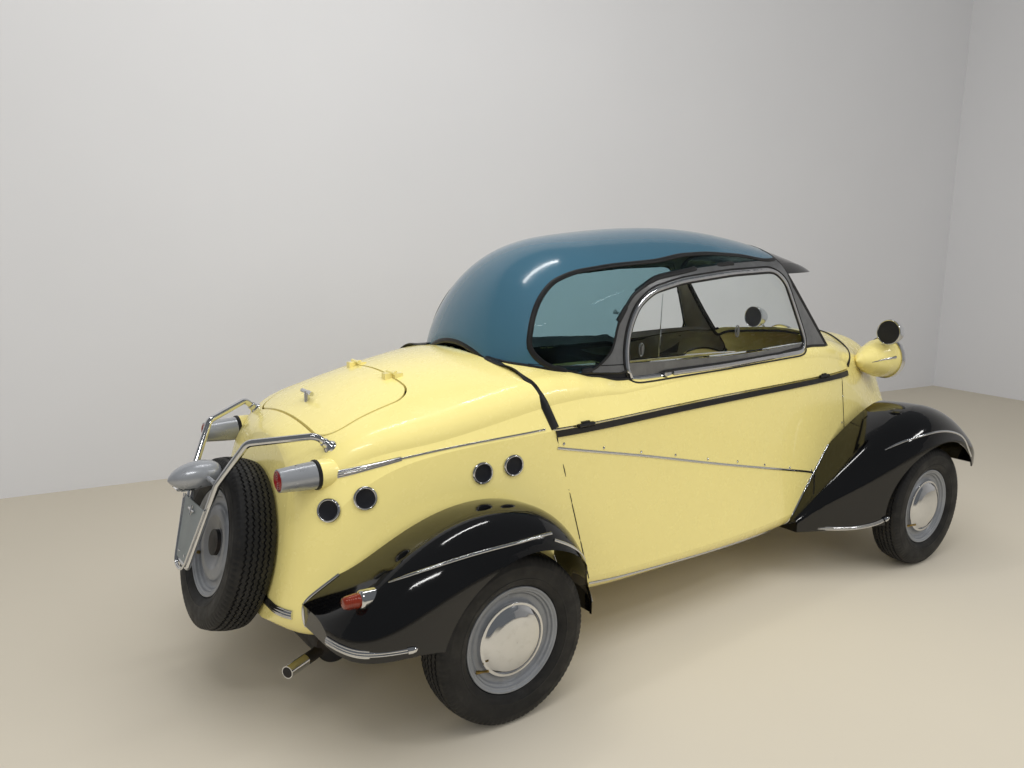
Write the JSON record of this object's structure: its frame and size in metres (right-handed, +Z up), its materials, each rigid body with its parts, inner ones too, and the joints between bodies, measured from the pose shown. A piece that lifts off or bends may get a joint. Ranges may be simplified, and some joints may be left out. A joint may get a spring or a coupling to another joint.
{
  "type": "bubble car",
  "caption": "Small tandem-seat bubble car on four wheels with a domed side-hinged canopy, separate wings, tail lid and a spare wheel on the tail.",
  "frame": {"origin": "on the ground, under the middle of the car's length, on its centre plane", "axes": "+X forwards, +Y to the car's left, +Z up"},
  "size_m": [2.9982, 1.3002, 1.24],
  "materials": {
    "yellow_paint": "gloss",
    "black_paint": "gloss",
    "blue_dome": "gloss",
    "clear_pane": "clear",
    "chrome": "polished",
    "cast_aluminium": "satin",
    "rubber": "matte",
    "tyre_rubber": "matte",
    "grey_steel": "satin",
    "dark_steel": "satin",
    "engine_alloy": "rough",
    "navy_leather": "satin",
    "plate_grey": "satin"
  },
  "bodies": {
    "body": {"nose_shell": "yellow_paint", "tub_shell": "yellow_paint", "tail_shell": "yellow_paint", "rear_wing_right": "black_paint", "front_wing_right": "black_paint", "rear_wing_left": "black_paint", "front_wing_left": "black_paint", "spare_tyre": "tyre_rubber", "spare_rim": "grey_steel", "spare_stud": "chrome", "carrier_bars": "chrome", "number_plate": "plate_grey", "rear_axle": "dark_steel", "front_axle": "dark_steel", "rear_bulkhead": "dark_steel", "dashboard": "dark_steel", "steering_column": "dark_steel", "front_seat": "navy_leather", "rear_seat": "navy_leather", "seat_bases": "dark_steel", "engine": "engine_alloy", "silencer": "chrome", "headlamps": "chrome", "tail_lamps": "chrome", "waist_rubber": "rubber", "canopy_hinge_pins": "chrome"},
    "canopy": {"canopy_skirt": "yellow_paint", "canopy_dome": "blue_dome", "windscreen": "clear_pane", "windscreen_visor": "blue_dome", "window_frames": "chrome", "side_panes": "clear_pane", "canopy_hinge_barrels": "chrome"},
    "lid": {"tail_lid": "yellow_paint", "lid_handle": "chrome"},
    "steering_left": {"knuckle_left": "dark_steel"},
    "steering_right": {"knuckle_right": "dark_steel"},
    "bars": {"handlebar": "chrome"},
    "wheel_rear_right": {"tyre_rear_right": "tyre_rubber", "rim_rear_right": "grey_steel", "hubcap_rear_right": "chrome"},
    "wheel_rear_left": {"tyre_rear_left": "tyre_rubber", "rim_rear_left": "grey_steel", "hubcap_rear_left": "chrome"},
    "wheel_front_right": {"tyre_front_right": "tyre_rubber", "rim_front_right": "grey_steel", "hubcap_front_right": "chrome"},
    "wheel_front_left": {"tyre_front_left": "tyre_rubber", "rim_front_left": "grey_steel", "hubcap_front_left": "chrome"}
  },
  "joints": [
    {"name": "canopy_hinge", "type": "hinge", "parent": "body", "child": "canopy", "pos_m": [-0.5, -0.42886, 0.708], "axis": [0.9964, 0.0851, 0], "range_deg": [0, 80]},
    {"name": "lid_hinge", "type": "hinge", "parent": "body", "child": "lid", "pos_m": [-0.932, 0, 0.84736], "axis": [0, 1, 0], "range_deg": [0, 65]},
    {"name": "steer_left", "type": "hinge", "parent": "body", "child": "steering_left", "pos_m": [1.05, 0.51, 0.225], "axis": [0, 0, 1], "range_deg": [-24, 24]},
    {"name": "steer_right", "type": "hinge", "parent": "body", "child": "steering_right", "pos_m": [1.05, -0.51, 0.225], "axis": [0, 0, 1], "range_deg": [-24, 24]},
    {"name": "handlebar_turn", "type": "hinge", "parent": "body", "child": "bars", "pos_m": [0.64, 0, 0.69], "axis": [-0.7319, 0, 0.6814], "range_deg": [-24, 24]},
    {"name": "roll_rear_right", "type": "hinge", "parent": "body", "child": "wheel_rear_right", "pos_m": [-0.84, -0.525, 0.225], "axis": [0, 1, 0], "continuous": true},
    {"name": "roll_rear_left", "type": "hinge", "parent": "body", "child": "wheel_rear_left", "pos_m": [-0.84, 0.525, 0.225], "axis": [0, 1, 0], "continuous": true},
    {"name": "roll_front_right", "type": "hinge", "parent": "steering_right", "child": "wheel_front_right", "pos_m": [1.05, -0.555, 0.225], "axis": [0, 1, 0], "continuous": true},
    {"name": "roll_front_left", "type": "hinge", "parent": "steering_left", "child": "wheel_front_left", "pos_m": [1.05, 0.555, 0.225], "axis": [0, 1, 0], "continuous": true}
  ],
  "couplings": [
    {"joint": "steer_right", "follows": "steer_left", "ratio": 1},
    {"joint": "handlebar_turn", "follows": "steer_left", "ratio": 1}
  ]
}
